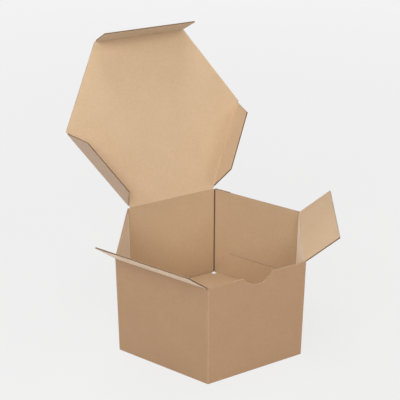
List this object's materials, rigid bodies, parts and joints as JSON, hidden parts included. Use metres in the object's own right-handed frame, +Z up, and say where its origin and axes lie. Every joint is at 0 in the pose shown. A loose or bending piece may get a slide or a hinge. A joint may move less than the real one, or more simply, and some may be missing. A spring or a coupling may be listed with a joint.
{
  "type": "hexagonal folding box",
  "caption": "Open hexagonal box of plain brown corrugated board: hinged lid with a tuck flap and side flaps, dust flaps leaning out, and a thumb notch in the front wall.",
  "frame": {"origin": "middle of the hexagonal underside, on the surface that the box stands on", "axes": "+Z up; -Y towards the front wall with the thumb notch; +X to the right seen from the front"},
  "size_m": [0.224, 0.2321, 0.2435],
  "materials": {
    "kraft_board": "matt brown kraft liner"
  },
  "bodies": {
    "box": {"box_body": "kraft_board"},
    "lid": {"lid_panel": "kraft_board"},
    "tuck_flap": {"lid_tuck_flap": "kraft_board"},
    "lid_flap_right": {"lid_right_flap": "kraft_board"},
    "lid_flap_left": {"lid_left_flap": "kraft_board"},
    "dust_flap_right": {"right_dust_flap": "kraft_board"},
    "dust_flap_left": {"left_dust_flap": "kraft_board"}
  },
  "joints": [
    {"name": "lid_hinge", "type": "hinge", "parent": "box", "child": "lid", "pos_m": [0, 0.07734, 0.0918], "axis": [1, 0, 0], "range_deg": [-85, 115]},
    {"name": "tuck_flap_hinge", "type": "hinge", "parent": "lid", "child": "tuck_flap", "pos_m": [0, 0.1417, 0.22982], "axis": [1, 0, 0], "range_deg": [-9, 12]},
    {"name": "lid_flap_right_hinge", "type": "hinge", "parent": "lid", "child": "lid_flap_right", "pos_m": [0.06505, 0.09371, 0.12689], "axis": [-0.5, -0.366, -0.7849], "range_deg": [-92, 18]},
    {"name": "lid_flap_left_hinge", "type": "hinge", "parent": "lid", "child": "lid_flap_left", "pos_m": [-0.06505, 0.09371, 0.12689], "axis": [-0.5, 0.366, 0.7849], "range_deg": [-89.5, 20]},
    {"name": "dust_flap_right_hinge", "type": "hinge", "parent": "box", "child": "dust_flap_right", "pos_m": [0.06698, -0.03867, 0.0904], "axis": [-0.5, -0.866, 0], "range_deg": [-60, 139.6]},
    {"name": "dust_flap_left_hinge", "type": "hinge", "parent": "box", "child": "dust_flap_left", "pos_m": [-0.06698, -0.03867, 0.0904], "axis": [-0.5, 0.866, 0], "range_deg": [-60, 139.6]}
  ],
  "couplings": [
    {"joint": "tuck_flap_hinge", "follows": "lid_hinge", "ratio": 0.1}
  ]
}
